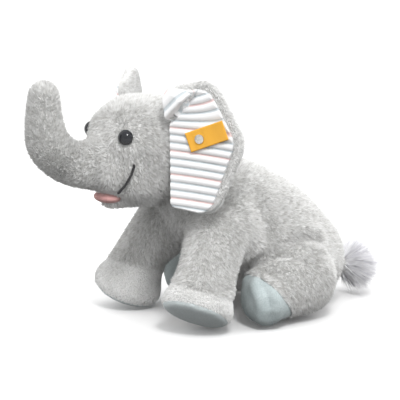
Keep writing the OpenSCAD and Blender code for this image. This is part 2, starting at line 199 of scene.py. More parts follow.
# %% The legs and the tail stub
foot = np.array([46, shoulder[1] - 22, 17.25])
foot_axes = np.array(turned((-16, "Y"), (-28, "X"))).T
knee = np.array([42.4, -89.1, (shoulder[2] + foot[2]) / 2, 21.5])
front_balls = through([(*shoulder, 23), knee, (*(foot + 13 * foot_axes[2]), 23.3)], 4)
hind_balls = through([(*hip, 28), (46, -35.8, 22.6, 22.8), (52, -52, 19.4, 20)], 4)
HIND_FACE = -66
tail_end = np.array([0, tail_root[1] + 15, tail_root[2] - 5])
tail_balls = [np.array([*tail_root, 8.0]), np.array([*tail_end, 8.0])]


def front_form(points):
    local = (points - foot) @ foot_axes.T
    rim = np.maximum(np.hypot(local[:, 0], local[:, 1]) - 16.8, 0)
    puck = np.hypot(rim, local[:, 2]) - 10
    form = soft_union(padded_run(points, front_balls), puck, 10)
    return soft_cut(form, -10 - local[:, 2], 5)


def hind_form(points):
    form = padded_run(points, hind_balls)
    form = soft_cut(form, HIND_FACE - points[:, 1], 9)
    return soft_cut(form, SEAT - points[:, 2], 5)


def tail_form(points):
    return padded_run(points, tail_balls)


def mirrored(form):
    return lambda points: form(points * (-1, 1, 1))


# %% From a form to an even mesh
def make_mesh(name, points, faces):
    mesh = bpy.data.meshes.new(name)
    mesh.from_pydata((np.asarray(points) * MM).tolist(), [], [list(f) for f in faces])
    mesh.update()
    mesh.shade_smooth()
    return add_object(name, mesh)


def recalculate(piece):
    work = bmesh.new()
    work.from_mesh(piece.data)
    bmesh.ops.recalc_face_normals(work, faces=work.faces)
    work.to_mesh(piece.data)
    work.free()


def cloth_from(name, form, low, high, cell, inset):
    """An even closed mesh of a form drawn in by inset."""
    axes = [np.arange(a - 2 * cell, b + 2 * cell, cell) for a, b in zip(low, high)]
    grid = np.stack(np.meshgrid(*axes, indexing="ij"), -1)
    values = (form(grid.reshape(-1, 3)) + inset).reshape(grid.shape[:3])
    volume = openvdb.FloatGrid(100.0)
    volume.copyFromArray(values.astype(np.float32))
    points, triangles, quads = volume.convertToPolygons(isovalue=0.0, adaptivity=0.0)
    points = np.asarray(points) * cell + [axis[0] for axis in axes]
    piece = make_mesh(name, points, [*np.asarray(quads).tolist(), *np.asarray(triangles).tolist()])
    recalculate(piece)
    return piece


def numbers_of(mesh, what):
    """The positions (co) or normals (normal) of a mesh's points, in rows of three."""
    values = np.empty(len(mesh.vertices) * 3, np.float32)
    mesh.vertices.foreach_get(what, values)
    return values.reshape(-1, 3).astype(float)


def points_of(piece):
    return numbers_of(piece.data, "co") / MM


def normals_of(piece):
    return numbers_of(piece.data, "normal")


def move_points(piece, points):
    piece.data.vertices.foreach_set("co", (points * MM).astype(np.float32).ravel())
    piece.data.update()


CELL = 3.0
SKIN_INSET = 3.4
FRONT_BOX, HIND_BOX = ((8, -130, 0), (76, -50, 90)), ((8, -76, 0), (78, 16, 60))
TAIL_BOX = ((-10, 20, 8), (10, 62, 42))
core = cloth_from("core", core_form, (-52, -202, 0), (52, 42, 172), CELL, SKIN_INSET)
front_leg = cloth_from("front_leg", front_form, *FRONT_BOX, CELL, SKIN_INSET)
hind_leg = cloth_from("hind_leg", hind_form, *HIND_BOX, CELL, SKIN_INSET)
tail_stub = cloth_from("tail_stub", tail_form, *TAIL_BOX, 2.0, 2.6)
for piece in (core, front_leg, hind_leg, tail_stub):
    print(piece.name, len(piece.data.polygons), "faces")

# %% [markdown]
# ## Filling
# Filling presses each cover outward, while the seams hold it back, and this is what gives a
# plush toy its soft crowned panels. A short cloth simulation with inner pressure does the
# same. The seam lines are held, every other point may travel only a few millimetres, and the
# result is kept as the mesh.


# %% Press the covers outward
def distance_to_path(points, path):
    nearest = np.full(len(points), 1e3)
    for a, b in zip(np.array(path[:-1], float), np.array(path[1:], float)):
        t = np.clip((points - a) @ (b - a) / ((b - a) @ (b - a)), 0, 1)
        nearest = np.minimum(nearest, np.linalg.norm(points - a - t[:, None] * (b - a), axis=1))
    return nearest


PRESSURE, FRAMES, SEAM_REACH = 4, 20, 2.2


def plump(piece, seam_distance, cap):
    """Inner pressure on a cover whose seams are held. No point travels further than cap."""
    rest = points_of(piece)
    held = np.exp(-((seam_distance(rest) / SEAM_REACH) ** 2))
    group = piece.vertex_groups.new(name="seams")
    for i in np.flatnonzero(held > 0.05):
        group.add([int(i)], float(held[i]), "REPLACE")
    cloth = piece.modifiers.new("filling", "CLOTH")
    cloth.settings.use_pressure = True
    cloth.settings.uniform_pressure_force = PRESSURE
    cloth.settings.effector_weights.gravity = 0
    cloth.settings.vertex_group_mass = "seams"
    cloth.settings.quality = 4
    for step in range(1, FRAMES + 1):
        bpy.context.scene.frame_set(step)
    shaped = piece.evaluated_get(bpy.context.evaluated_depsgraph_get())
    moved = np.array([v.co for v in shaped.data.vertices], float) / MM
    piece.modifiers.remove(cloth)
    bpy.context.scene.frame_set(1)
    travel = moved - rest
    length = np.linalg.norm(travel, axis=1)
    travel *= (cap * np.tanh(length / cap) / np.maximum(length, 1e-6))[:, None]
    piece.vertex_groups.clear()
    move_points(piece, rest + travel)
    print(piece.name, "travel in mm", round(float(length.mean()), 2), "kept under", cap)


BELLY_HALF = 20
BELLY_EDGE = (0, 19, 9)


def core_seams(points):
    middle = np.abs(points[:, 0])
    belly_top = (points[:, 2] - BELLY_EDGE[2]) - (BELLY_EDGE[1] - points[:, 1]) * 0.66
    under = (np.abs(points[:, 0]) < BELLY_HALF) & (belly_top < 0)
    edge = np.abs(np.abs(points[:, 0]) - BELLY_HALF)
    edge[belly_top > 0] = 99
    chest = np.where(np.abs(points[:, 0]) < BELLY_HALF, np.abs(belly_top) * 0.83, 99)
    middle[under] = 99
    return np.minimum(np.minimum(middle, edge), chest)


def front_seams(points):
    local = (points - foot) @ foot_axes.T
    back = np.abs(points[:, 0] - knee[0]) + np.where(points[:, 1] > knee[1], 0, 99)
    return np.minimum(np.abs(local[:, 2] + 3), back)


SOLE_EDGE, SOLE_TURN = (0, -61, 39.4), math.radians(42)


def hind_sole_side(points):
    """How far points lie behind the slanted seam of the hind sole."""
    back, up = points[:, 1] - SOLE_EDGE[1], points[:, 2] - SOLE_EDGE[2]
    return back * math.cos(SOLE_TURN) + up * math.sin(SOLE_TURN)


def hind_seams(points):
    return np.abs(hind_sole_side(points))


CAP = 2.2
plump(core, core_seams, CAP)
plump(front_leg, front_seams, CAP)
plump(hind_leg, hind_seams, CAP)


# %% Finer mesh
def refine(piece):
    """One level of subdivision, kept as the mesh."""
    soft = piece.modifiers.new("finer", "SUBSURF")
    soft.levels = soft.render_levels = 1
    mesh = finished_mesh(piece)
    piece.modifiers.remove(soft)
    piece.data = mesh
    mesh.shade_smooth()


for piece in (core, front_leg, hind_leg, tail_stub):
    refine(piece)
    print(piece.name, len(piece.data.polygons), "faces")

# %% [markdown]
# ## Creases
# Where a seam pulls or a limb folds, the cloth dips in a line and swells on both sides. Each
# crease is a path on the cover: points near it sink, and points a little further out rise.


# %% Pull the creases in
def crease(piece, path, depth, width):
    points, normals = points_of(piece), normals_of(piece)
    near = distance_to_path(points, path) / width
    sink = depth * (np.exp(-(near**2)) - 0.35 * np.exp(-((near - 2.1) ** 2)))
    move_points(piece, points - normals * sink[:, None])


HIP_FOLD = [(35, -55, 38), (44, -49, 45), (48, -41, 48), (50, -33, 52), (49, -17, 57), (47, -4, 55)]
THIGH_FOLD = [(50, -38, 47), (54, -29, 46), (58, -24, 45)]


def mirrored_path(path, side):
    return [(side * x, y, z) for x, y, z in path]


for side in (-1, 1):
    crease(core, [(side * 30, -137, 112), (side * 28, -138, 105), (side * 19, -141, 94)], 1.6, 2.6)
    crease(core, [(side * 26, -104, 40), (side * 21, -93, 62), (side * 12, -90, 74)], 1.2, 3.5)
    crease(core, [(side * 40, -50, 96), (side * 44, -50, 80), (side * 43, -44, 62)], 1.5, 5)
    crease(core, mirrored_path(HIP_FOLD, side), 6.5, 3.8)
    crease(core, mirrored_path(THIGH_FOLD, side), 2.4, 2.6)
crease(front_leg, [(58, -105, 42), (65, -96, 35), (65, -88, 32), (59, -76, 30)], 1.3, 2.0)
crease(hind_leg, HIP_FOLD, 6.5, 3.8)
crease(hind_leg, THIGH_FOLD, 2.4, 2.6)
crease(hind_leg, [(60, -62, 37), (69, -58, 26), (71, -57, 15), (66, -55, 3)], 4.4, 3.4)
crease(hind_leg, [(68, -10, 36), (66, -2, 34)], 1.5, 3)


def socket(piece, centre, reach, amount):
    """Raises the filling in a soft ring, so that what is sewn in its middle sits sunk in it."""
    points = points_of(piece)
    ring = (np.linalg.norm(own_points(points) - centre, axis=1) - reach) / (0.55 * reach)
    move_points(piece, points + normals_of(piece) * (amount * np.exp(-(ring**2)))[:, None])


EYE = np.array([26.4, -140.9, 131.0])
socket(core, EYE, 9.0, 1.6)


def swell(piece, past_seam, amount):
    """Fills a smooth sole out to the level of the pile round it."""
    points = points_of(piece)
    rise = amount * np.clip(past_seam(points) / 5, 0, 1) ** 0.5
    move_points(piece, points + normals_of(piece) * rise[:, None])


swell(front_leg, lambda p: -((p - foot) @ foot_axes[2]) - 3, 1.6)
swell(hind_leg, lambda p: -hind_sole_side(p), 1.6)
print("creased", core.name, hind_leg.name)

# %% [markdown]
# ## Cutting the covers into panels
# The toy's covers are sewn from panels, so the smooth forms are cut along the real seams: left
# and right halves, a belly panel and a jaw panel. Each panel gets the cloth's thickness on its
# inside. The neck and the root of the trunk belong to one body on one end and to the next body
# on the other end, so their covers bend between the two when the joint turns.


# %% Cut a panel from a cover
def plane(point, normal):
    return np.array(point, float), np.array(normal, float) / np.linalg.norm(normal)


def side_of(cut, points):
    return (points - cut[0]) @ cut[1]


WALL = 1.4
bare_cloth = {}


def panel(name, source, cuts, keep):
    """The faces of source, cut along the planes, whose middles pass keep, as cloth with a wall."""
    work = bmesh.new()
    work.from_mesh(source.data)
    for point, normal in cuts:
        bmesh.ops.bisect_plane(work, geom=[*work.verts, *work.edges, *work.faces], dist=1e-6,
                               plane_co=Vector(point * MM), plane_no=Vector(normal))
    middles = np.array([f.calc_center_median() for f in work.faces], float).reshape(-1, 3) / MM
    kept = keep(middles)
    bmesh.ops.delete(work, geom=[f for f, k in zip(list(work.faces), kept) if not k], context="FACES")
    mesh = bpy.data.meshes.new(name)
    work.to_mesh(mesh)
    work.free()
    mesh.shade_smooth()
    bare_cloth[name] = mesh
    piece = add_object(name, mesh)
    wall = piece.modifiers.new("cloth", "SOLIDIFY")
    wall.thickness = WALL * MM
    wall.offset = -1
    outer = finished_mesh(piece)
    piece.modifiers.remove(wall)
    piece.data = outer
    outer.shade_smooth()
    return piece


def flipped(name, source):
    """The same cover for the animal's other side."""
    mesh = source.data.copy()
    mesh.transform(Matrix.Scale(-1, 4, (1, 0, 0)))
    mesh.flip_normals()
    return add_object(name, mesh)


NECK_START, NECK_END = np.array([0, -67.3, 83.1]), np.array([0, -100.7, 111.9])
FACE_START, FACE_END = np.array([0, -147.0, 111]), np.array([0, -165.0, 111])
neck_cut = plane(NECK_START, NECK_END - NECK_START)
face_cut = plane(FACE_START, FACE_END - FACE_START)
belly_cut = plane(BELLY_EDGE, (0, -0.55, -0.835))
JAW_TOP, JAW_BACK = 84, -117
jaw_cuts = [plane((0, 0, JAW_TOP), (0, 0, 1)), plane((0, JAW_BACK, 0), (0, 1, 0))]
middle_cut = plane((0, 0, 0), (1, 0, 0))
edge_cuts = [plane((BELLY_HALF, 0, 0), (1, 0, 0)), plane((-BELLY_HALF, 0, 0), (-1, 0, 0))]


def under_belly(p):
    return (side_of(belly_cut, p) > 0) & (np.abs(p[:, 0]) < BELLY_HALF)


def in_torso(p):
    return side_of(neck_cut, p) < 0


def in_trunk(p):
    return side_of(face_cut, p) > 0


def in_jaw(p):
    return (p[:, 2] < JAW_TOP) & (p[:, 1] < JAW_BACK)


torso_cuts = [neck_cut, belly_cut, *edge_cuts, middle_cut]
head_cuts = [neck_cut, face_cut, middle_cut, *jaw_cuts]
covers = {
    "belly_panel": panel("belly_cover", core, torso_cuts, lambda p: in_torso(p) & under_belly(p)),
    "jaw_panel": panel("jaw_cover", core, head_cuts[:2] + jaw_cuts,
                       lambda p: ~in_torso(p) & ~in_trunk(p) & in_jaw(p)),
}
for tag, sign in SIDES:
    covers[f"torso_panel_{tag}"] = panel(
        f"torso_cover_{tag}", core, torso_cuts,
        lambda p: in_torso(p) & ~under_belly(p) & (p[:, 0] * sign > 0))
    covers[f"head_panel_{tag}"] = panel(
        f"head_cover_{tag}", core, head_cuts,
        lambda p: ~in_torso(p) & ~in_trunk(p) & ~in_jaw(p) & (p[:, 0] * sign > 0))
    covers[f"trunk_panel_{tag}"] = panel(
        f"trunk_cover_{tag}", core, [face_cut, middle_cut],
        lambda p: in_trunk(p) & (p[:, 0] * sign > 0))
print("panels of the core", {n: len(o.data.polygons) for n, o in covers.items()})

# %% The leg and tail covers
front_sole_cut = plane(foot - 3 * foot_axes[2], foot_axes[2])
front_cuff_cut = plane(foot + (0, 0, 14), foot_axes[2] + (0.25, -0.2, 0))
hind_sole_cut = plane(SOLE_EDGE, (0, math.cos(SOLE_TURN), math.sin(SOLE_TURN)))
front_right = flipped("front_leg_other", front_leg)
far_turn = turned((4, "Y"), (1, "X"))
far_step = np.array([0, -2.5, -3.5])
FAR_BEND = 15
far_shoulder = Vector(shoulder * (-1, 1, 1))


def bent(points, share):
    """Turns points about the middle of the right foot, toe down, by a share of the bend."""
    turn = math.radians(FAR_BEND) * share
    y, z = points[:, 1] - foot[1], points[:, 2] - foot[2]
    return np.column_stack([points[:, 0], foot[1] + y * np.cos(turn) - z * np.sin(turn),
                            foot[2] + y * np.sin(turn) + z * np.cos(turn)])


def swing_out(piece):
    """Stands the right front leg a little further forward than the left one, toe down."""
    points = points_of(piece)
    share = np.clip((knee[2] + 6 - points[:, 2]) / (knee[2] + 6 - foot[2]), 0, 1)
    move_points(piece, bent(points, share * share * (3 - 2 * share)))
    move = (Matrix.Translation((far_shoulder + Vector(far_step)) * MM) @ far_turn.to_4x4()
            @ Matrix.Translation(-far_shoulder * MM))
    piece.data.transform(move)


def swung(cut):
    ends = bent(np.array([cut[0], cut[0] + cut[1]]), 1.0)
    point = far_turn @ (Vector(ends[0]) - far_shoulder) + far_shoulder + Vector(far_step)
    return np.array(point), np.array(far_turn @ Vector(ends[1] - ends[0]))


swing_out(front_right)
hind_right = flipped("hind_leg_other", hind_leg)


def across(cut, sign):
    return (cut[0] * (sign, 1, 1), cut[1] * (sign, 1, 1))


for (tag, sign), front, hind in zip(SIDES, (front_leg, front_right), (hind_leg, hind_right)):
    sole, cuff = across(front_sole_cut, sign), across(front_cuff_cut, sign)
    if sign < 0:
        sole, cuff = swung(sole), swung(cuff)
    behind = across(hind_sole_cut, sign)
    for limb, source, cuts, edge in (("front", front, [sole, cuff], sole), ("hind", hind, [behind], behind)):
        covers[f"{limb}_leg_cover_{tag}"] = panel(
            f"{limb}_leg_shell_{tag}", source, cuts, lambda p: side_of(edge, p) > 0)
        covers[f"{limb}_sole_{tag}"] = panel(
            f"{limb}_sole_cloth_{tag}", source, [edge], lambda p: side_of(edge, p) < 0)
covers["tail_cover"] = panel("tail_shell", tail_stub, [], lambda p: np.ones(len(p), bool))
for spare in (core, front_leg, hind_leg, front_right, hind_right, tail_stub):
    bpy.data.objects.remove(spare)
print(len(covers), "covers")

# %% [markdown]
# ## Finishes
# The pile is pale grey with lighter and darker fibres mixed in, as brushed plush has. A fibre
# is too thin to carry a pattern, so the mix comes from three plain shades of fibre. The woven
# backing under it, the smooth soles, the ribbed ear lining and the ribbon get patterned
# materials with their own grain.


# %% Fibre shades and cloth finishes
def new_material(name, colour, roughness=0.9, sheen=0.0):
    material = bpy.data.materials.new(name)
    material.use_nodes = True
    wire(material.node_tree.nodes["Principled BSDF"], {
        "Base Color": (*colour, 1), "Roughness": roughness, "Specular IOR Level": 0.3,
        "Sheen Weight": sheen, "Sheen Roughness": 0.5})
    return material


def grained(name, dark, light, grain, bump, roughness=0.9, sheen=0.2):
    """A cloth whose colour drifts between two tones, with a fine bumpy grain in mm."""
    material = new_material(name, light, roughness, sheen)
    new = material.node_tree.nodes.new
    place = new("ShaderNodeTexCoord").outputs["Object"]
    fine = wire(new("ShaderNodeTexNoise"), {"Vector": place, "Scale": 1 / (grain * MM), "Detail": 3})
    wide = wire(new("ShaderNodeTexNoise"), {"Vector": place, "Scale": 1 / (9 * grain * MM)})
    blend = math_node(material.node_tree, "MULTIPLY_ADD", wide.outputs["Fac"], 0.5, fine.outputs["Fac"])
    ramp = wire(new("ShaderNodeValToRGB"), {"Fac": blend})
    for stop, position, colour in zip(ramp.color_ramp.elements, (0.55, 0.95), (dark, light)):
        stop.position = position
        stop.color = (*colour, 1)
    lift = wire(new("ShaderNodeBump"), {"Strength": bump, "Distance": 0.4 * MM,
                                        "Height": fine.outputs["Fac"]})
    wire(material.node_tree.nodes["Principled BSDF"], {"Base Color": ramp.outputs["Color"],
                                                       "Normal": lift.outputs["Normal"]})
    return material


fibre_light = new_material("fibre light grey", (0.80, 0.80, 0.795), 0.85, 0.3)
fibre_mid = new_material("fibre mid grey", (0.71, 0.71, 0.70), 0.9, 0.25)
fibre_deep = new_material("fibre deep grey", (0.58, 0.575, 0.56), 0.95, 0.2)
tuft_light = new_material("tuft white", (0.94, 0.94, 0.95), 0.8, 0.3)
tuft_mid = new_material("tuft lilac white", (0.88, 0.878, 0.90), 0.85, 0.3)
tuft_deep = new_material("tuft lilac grey", (0.78, 0.775, 0.81), 0.9, 0.2)
backing = grained("plush backing", (0.50, 0.50, 0.49), (0.64, 0.64, 0.63), 1.2, 0.5)
sole_cloth = grained("front sole velour", (0.56, 0.615, 0.62), (0.66, 0.715, 0.72), 0.9, 0.35, 0.85, 0.15)
# The hind soles use a darker copy of the same sole velour. The extra darkness is painted shade for soles that face
# forward under the body, not wear.
shaded_sole_velour = grained("hind sole velour", (0.36, 0.415, 0.42), (0.47, 0.525, 0.53), 0.9, 0.35, 0.85, 0.15)
mouth_cloth = grained("mouth velour", (0.52, 0.27, 0.26), (0.68, 0.40, 0.38), 0.8, 0.4)
filling = grained("fibre filling", (0.78, 0.78, 0.76), (0.9, 0.9, 0.88), 2.0, 0.8)
print(len(bpy.data.materials), "materials")

# %% [markdown]
# ## Pile
# Plush pile is thousands of short fibre clumps that lean one way and part here and there. A
# node tree scatters small closed tapered clumps over a cover, leans them along a combing
# direction stored on the cover, and picks a shade for each. Named inputs give the density,
# length and lean, and the seed is fixed.


# %% Node tree for the pile
def new_tree(name, start, values, end):
    """A node tree that takes a geometry and named values, and gives a geometry."""
    tree = bpy.data.node_groups.new(name, "GeometryNodeTree")
    for label, kind in ((start, "Geometry"), *values):
        tree.interface.new_socket(label, in_out="INPUT", socket_type=f"NodeSocket{kind}")
    tree.interface.new_socket(end, in_out="OUTPUT", socket_type="NodeSocketGeometry")
    return tree, tree.nodes.new("NodeGroupInput").outputs, tree.nodes.new("NodeGroupOutput")


def random_node(tree, kind, inputs):
    node = tree.nodes.new("FunctionNodeRandomValue")
    node.data_type = kind
    return wire(node, inputs)


def along_z(tree, way):
    turn = tree.nodes.new("FunctionNodeAlignRotationToVector")
    turn.axis = "Z"
    return wire(turn, {"Vector": way}).outputs[0]


def pile_tree():
    tree, given, made = new_tree("Pile on cloth", "Cloth", (
        ("Clumps per mm2", "Float"), ("Spacing", "Float"), ("Length", "Float"), ("Width", "Float"),
        ("Lean", "Float"), ("Ruffle", "Float"), ("Patch size", "Float"), ("Seed", "Int"),
        ("Light", "Material"), ("Mid", "Material"), ("Deep", "Material")), "Pile")
    new, seed = tree.nodes.new, given["Seed"]

    def stored(name, kind="FLOAT"):
        node = new("GeometryNodeInputNamedAttribute")
        node.data_type = kind
        return wire(node, {"Name": name}).outputs["Attribute"]

    scatter = new("GeometryNodeDistributePointsOnFaces")
    scatter.distribute_method = "POISSON"
    wire(scatter, {"Mesh": given["Cloth"], "Distance Min": given["Spacing"],
                   "Density Max": given["Clumps per mm2"], "Density Factor": stored("pile"), "Seed": seed})
    position = new("GeometryNodeInputPosition").outputs[0]
    scaled = vector_node(tree, "SCALE", position, math_node(tree, "DIVIDE", 1.0, given["Patch size"]))
    ruffle = wire(new("ShaderNodeTexNoise"), {"Vector": scaled, "Scale": 1, "Detail": 2})
    shade = wire(new("ShaderNodeTexNoise"), {"Vector": scaled, "Scale": 0.8, "Detail": 3})
    apart = vector_node(tree, "SUBTRACT", ruffle.outputs["Color"], (0.5, 0.5, 0.5))
    wave = vector_node(tree, "SCALE", apart, given["Ruffle"])
    comb = vector_node(tree, "SCALE", stored("comb", "FLOAT_VECTOR"), given["Lean"])
    jitter = random_node(tree, "FLOAT_VECTOR", {
        0: (-0.35, -0.35, -0.35), 1: (0.35, 0.35, 0.35), "Seed": seed})
    way = vector_node(tree, "ADD", vector_node(tree, "ADD", scatter.outputs["Normal"], comb),
                      vector_node(tree, "ADD", wave, jitter.outputs[0]))
    clump = wire(new("GeometryNodeMeshCone"), {
        "Vertices": 3, "Side Segments": 1, "Radius Top": 0, "Radius Bottom": given["Width"],
        "Depth": given["Length"]})
    size = random_node(tree, "FLOAT", {2: 0.65, 3: 1.25, "Seed": seed})
    tall = math_node(tree, "MULTIPLY", size.outputs[1], stored("nap"))
    scale = wire(new("ShaderNodeCombineXYZ"), {0: 1, 1: 1, 2: tall})
    spread = random_node(tree, "FLOAT", {})
    mixed = math_node(tree, "ADD", math_node(tree, "MULTIPLY", spread.outputs[1], 0.45),
                      math_node(tree, "MULTIPLY", shade.outputs["Fac"], 1.1))
    tone = wire(new("GeometryNodeStoreNamedAttribute"), {
        "Geometry": scatter.outputs["Points"], "Name": "tone",
        "Value": math_node(tree, "ADD", mixed, stored("pale"))})
    place = wire(new("GeometryNodeInstanceOnPoints"), {
        "Points": tone.outputs["Geometry"], "Instance": clump.outputs["Mesh"],
        "Rotation": along_z(tree, way), "Scale": scale.outputs[0]})
    flow = wire(new("GeometryNodeRealizeInstances"), {"Geometry": place.outputs["Instances"]}).outputs[0]
    for name, low, high in (("Deep", -9, 0.66), ("Mid", 0.66, 0.86), ("Light", 0.86, 9)):
        inside = math_node(tree, "MULTIPLY", math_node(tree, "GREATER_THAN", stored("tone"), low),
                           math_node(tree, "LESS_THAN", stored("tone"), high + 1e-4))
        paint = wire(new("GeometryNodeSetMaterial"), {"Geometry": flow, "Selection": inside,
                                                      "Material": given[name]})
        flow = paint.outputs["Geometry"]
    wire(made, {"Pile": flow})
    return tree


def grow_on(piece, tree, values):
    """The mesh that a node tree makes on a piece with the named values."""
    grow = piece.modifiers.new("grow", "NODES")
    grow.node_group = tree
    for item in tree.interface.items_tree:
        if item.item_type == "SOCKET" and item.in_out == "INPUT" and item.name in values:
            grow[item.identifier] = values[item.name]
    mesh = finished_mesh(piece)
    piece.modifiers.remove(grow)
    return mesh


PILE = pile_tree()
GREY_FIBRES = (fibre_light, fibre_mid, fibre_deep)
print("pile tree with", len(PILE.nodes), "nodes")


# %% Groom a cover and raise its pile
def groom(mesh, comb, pile=None, nap=None, pale=None):
    """Stores on a cloth mesh the combing direction, and the pile's density, length and paleness."""
    points, normals = numbers_of(mesh, "co") / MM, numbers_of(mesh, "normal")
    way = comb(points)
    way = way - normals * np.sum(way * normals, axis=1)[:, None]
    way /= np.maximum(np.linalg.norm(way, axis=1), 0.15)[:, None]
    mesh.attributes.new("comb", "FLOAT_VECTOR", "POINT").data.foreach_set(
        "vector", way.astype(np.float32).ravel())
    for name, rule, usual in (("pile", pile, 1.0), ("nap", nap, 1.0), ("pale", pale, 0.0)):
        values = rule(points) if rule else np.full(len(points), usual)
        mesh.attributes.new(name, "FLOAT", "POINT").data.foreach_set(
            "value", values.astype(np.float32))


def raise_pile(name, mesh, seed, density=3.8, length=2.7, width=0.29, lean=0.9, ruffle=2.0,
               patch=1.8, shades=GREY_FIBRES):
    """A pile mesh of closed clumps on a groomed cloth mesh."""
    piece = add_object(name, mesh)
    piece.data = grow_on(piece, PILE, {
        "Clumps per mm2": density / MM**2, "Spacing": 0.28 * MM, "Length": length * MM,
        "Width": width * MM, "Lean": lean, "Ruffle": ruffle, "Patch size": patch * MM,
        "Seed": seed, "Light": shades[0], "Mid": shades[1], "Deep": shades[2]})
    grown = piece.data
    for extra in [a.name for a in grown.attributes if a.name in ("comb", "pile", "nap", "pale", "tone")]:
        grown.attributes.remove(grown.attributes[extra])
    print(name, len(grown.polygons), "faces")
    return piece


# %% [markdown]
# ## The pile on each cover
# Pile lies back along the head and body, down the legs and out along the trunk. It is left
# off where a cover is pressed against its neighbour or the table, since it never shows there,
# and it is trimmed short round the eyes and the stitched smile.

# %% Where the pile grows
SMILE = [(30.2, -136.5, 112.5), (29.4, -137.6, 108), (28, -138.6, 104.7), (25.5, -140.3, 99.9),
         (22.6, -141.4, 96.8), (19.2, -141.9, 94.2)]
MOUTH = np.array([0, -140.2, 88.4])
MOUTH_SIZE = np.array([12.4, 8.6, 4.0])


def hidden(points, others, depth=5.0):
    """1 where cloth is free, falling to 0 where it lies inside a neighbour."""
    free = np.ones(len(points))
    for form in others:
        free *= np.clip((form(points) + depth) / 1.5, 0, 1)
    return free


def off_table(points, height=2.6):
    return np.clip((points[:, 2] - height) / 1.2, 0, 1)


def in_fold(side):
    """0 at the bottom of the hip fold, where cloth presses on cloth, and 1 away from it."""
    return np.clip(distance_to_path(side, HIP_FOLD) / 1.5 - 2.0, 0, 1)


def grow_core(points):
    side = own_points(points)
    free = hidden(side, [front_form, hind_form, tail_form]) * off_table(points)
    free *= np.clip(np.linalg.norm(side - EYE, axis=1) - 5.0, 0, 1)
    free *= np.clip(distance_to_path(side, SMILE) - 0.5, 0, 1)
    free *= in_fold(side)
    mouth = np.linalg.norm((points - MOUTH) / MOUTH_SIZE, axis=1)
    return free * np.clip((mouth - 1) * 6, 0, 1)


def trim_core(points):
    side = own_points(points)
    eye = np.clip((np.linalg.norm(side - EYE, axis=1) - 5) / 6, 0, 1)
    smile = np.clip(distance_to_path(side, SMILE) / 4, 0, 1)
    return 0.45 + 0.55 * np.minimum(eye, smile)


def comb_core(points):
    way = np.tile((0, 0.75, -0.65), (len(points), 1))
    trunk = np.clip((-140 - points[:, 1]) / 14, 0, 1)[:, None]
    rise = np.clip((-168 - points[:, 1]) / 10, 0, 1)[:, None]
    out = np.array([0, -1, 0]) * (1 - rise) + np.array([0, -0.1, 1]) * rise
    return way * (1 - trunk) + out * trunk


def comb_down(points):
    return np.tile((0, 0.25, -1.0), (len(points), 1))


def cuff_side(points):
    return side_of(front_cuff_cut, own_points(points))


# %% Grow the pile of every cover but the soles
def own_side(form):
    return lambda p: form(own_points(p))


piles = {}
for n, (node, cover) in enumerate(covers.items()):
    cloth = bare_cloth[cover.name]
    if "sole" in node:
        continue
    if node.startswith("front_leg"):
        groom(cloth, comb_down,
              lambda p: hidden(p, [core_form, own_side(hind_form)]) * off_table(p, 1.5),
              lambda p: np.where(cuff_side(p) < 0, 0.5, 1.0),
              lambda p: np.where(cuff_side(p) < 0, 0.3, 0.0))
    elif node.startswith("hind_leg"):
        groom(cloth, comb_down,
              lambda p: hidden(p, [core_form, own_side(front_form)]) * off_table(p) * in_fold(own_points(p)))
    elif node == "tail_cover":
        groom(cloth, lambda p: np.tile((0, 1.0, -0.3), (len(p), 1)), lambda p: hidden(p, [core_form]))
    else:
        groom(cloth, comb_core, grow_core, trim_core)
    piles[node] = raise_pile(f"{cover.name}_pile", cloth, 10 + n)
print("piles", len(piles))

# %% [markdown]
# ## Ears
# An ear is a plush back and a ribbed lining over thin wadding, sewn to the head along its
# straight edge. Its outline is the line round a few circles. Rings from the middle out to that
# line make both faces, which lets the rim roll over and the lining rise in ribs. The top
# corner of the left ear is folded forward, which is a step in the cloth along a crease, and
# the right ear is swept a little further back.

# %% Outline and place of the ears
EAR_CIRCLES = [(2, 8, 3), (2, 59.2, 3), (9.2, 72.0, 10), (21.1, 73, 14), (31, 47, 18), (20.6, 13, 13)]
LINING_CIRCLES = [(1.4, 6.4, 3), (1.4, 58, 3), (8.8, 71.2, 9), (18.8, 69.4, 12), (27.2, 47, 15.6),
                  (17.6, 12.2, 11.6)]
EAR_MIDDLE = np.array([19.0, 42.0])
EAR_HALF = 3.25
ear_matrix, swept_matrix = turned((1, "X"), (37, "Z")), turned((1, "X"), (44, "Z"))


def outline(circles, count):
    """Evenly spaced points of the line drawn tightly round some circles."""
    around = np.linspace(0, 2 * math.pi, 1440, endpoint=False)
    ways = np.stack([np.cos(around), np.sin(around)], 1)
    reach = np.array([[w[0] * x + w[1] * y + r for x, y, r in circles] for w in ways])
    best = np.array(circles)[reach.argmax(1)]
    line = best[:, :2] + best[:, 2:3] * ways
    closed = np.vstack([line, line[:1]])
    along = np.concatenate([[0], np.cumsum(np.linalg.norm(np.diff(closed, axis=0), axis=1))])
    at = np.linspace(0, along[-1], count, endpoint=False)
    return np.stack([np.interp(at, along, closed[:, k]) for k in (0, 1)], 1)


FOLD_START, FOLD_WAY = np.array([-1.0, 61.0]), np.array([0.70, 0.714])
FOLD_SIDE = np.array([-FOLD_WAY[1], FOLD_WAY[0]])
FOLD_SPREAD = 4.6


def fold_share(xz):
    """Distance past the crease of the folded corner, and how strongly the cloth is folded there."""
    ahead, beside = (xz - FOLD_START) @ FOLD_WAY, (xz - FOLD_START) @ FOLD_SIDE
    fade = np.clip((30 - ahead) / 14, 0, 1) * np.clip((ahead + 6) / 6, 0, 1)
    return beside, fade


